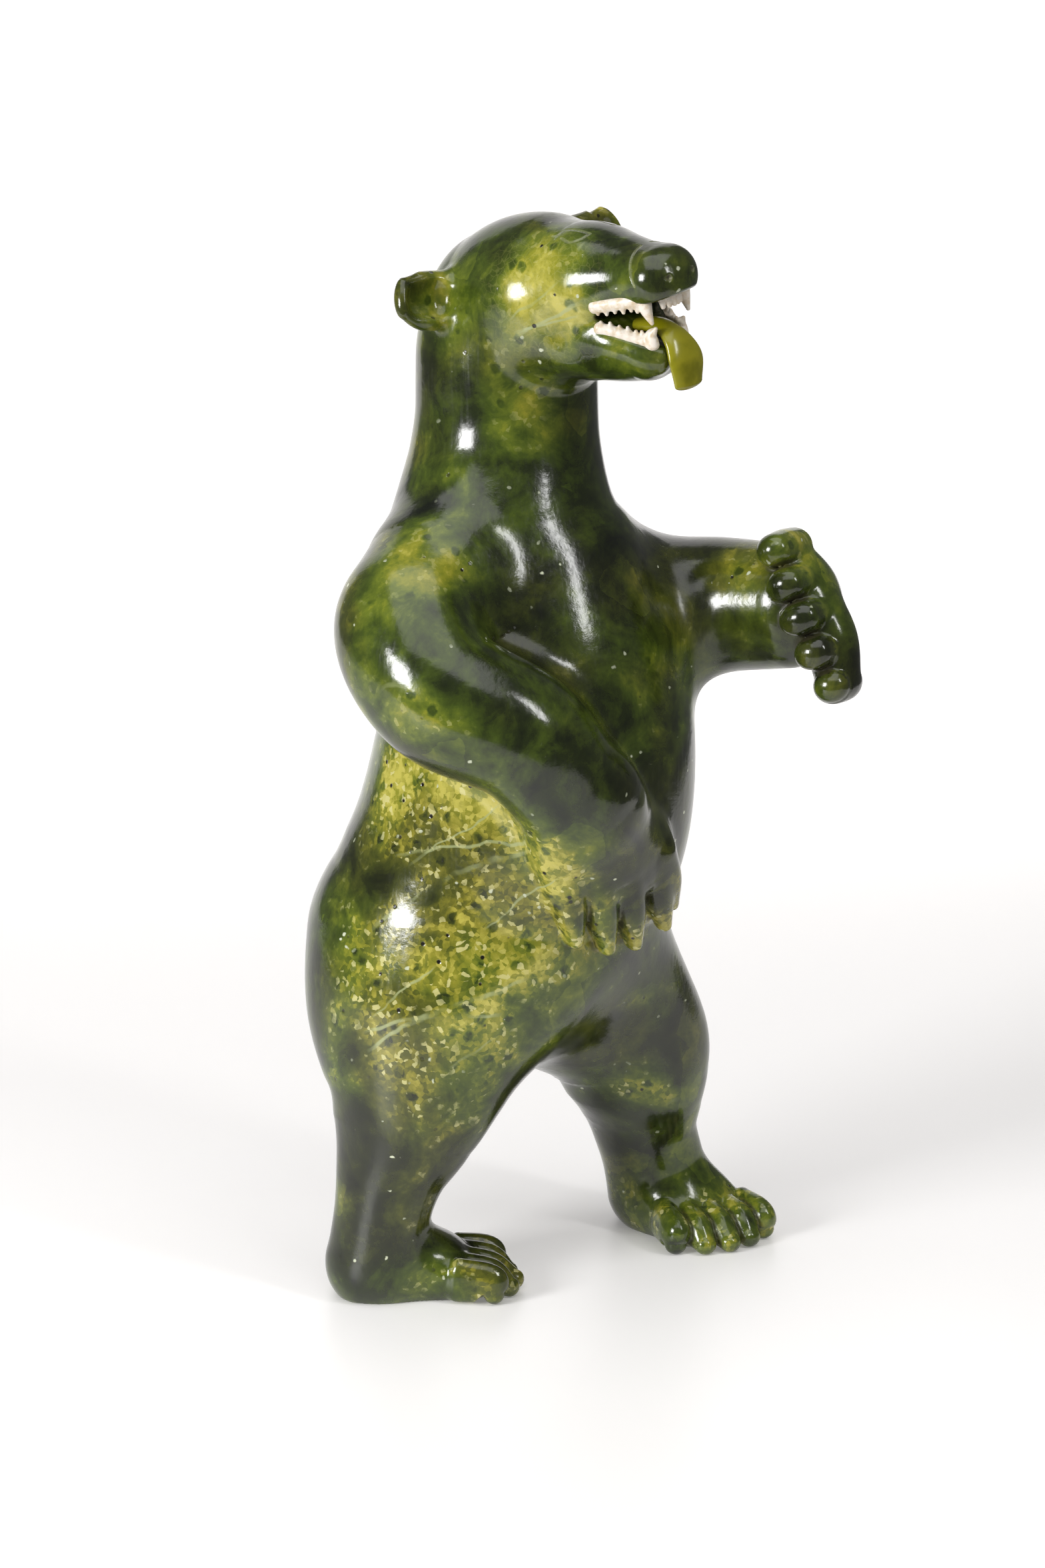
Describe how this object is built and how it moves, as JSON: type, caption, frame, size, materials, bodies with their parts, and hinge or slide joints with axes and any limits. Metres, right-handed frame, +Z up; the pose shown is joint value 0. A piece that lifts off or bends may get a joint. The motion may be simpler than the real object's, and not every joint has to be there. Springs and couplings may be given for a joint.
{
  "type": "soapstone bear carving",
  "caption": "Standing bear carved from polished green stone, one forepaw raised and one on its belly, with inlaid bone teeth in open jaws and a tongue hanging out.",
  "frame": {"origin": "on the ground, under the middle of the bounding box", "axes": "+Z up along the standing body; the bear faces -Y, so +X is its left"},
  "size_m": [0.1877, 0.1822, 0.3759],
  "materials": {
    "serpentine": "highly polished dark green stone with olive and yellow clouds",
    "tongue_stone": "polished yellow-green stone",
    "bone": "satin ivory-white bone"
  },
  "bodies": {
    "root": {"bear": "serpentine", "tongue": "tongue_stone", "upper_teeth_right": "bone", "upper_teeth_left": "bone", "upper_incisors": "bone", "lower_teeth_right": "bone", "lower_teeth_left": "bone"}
  },
  "joints": []
}
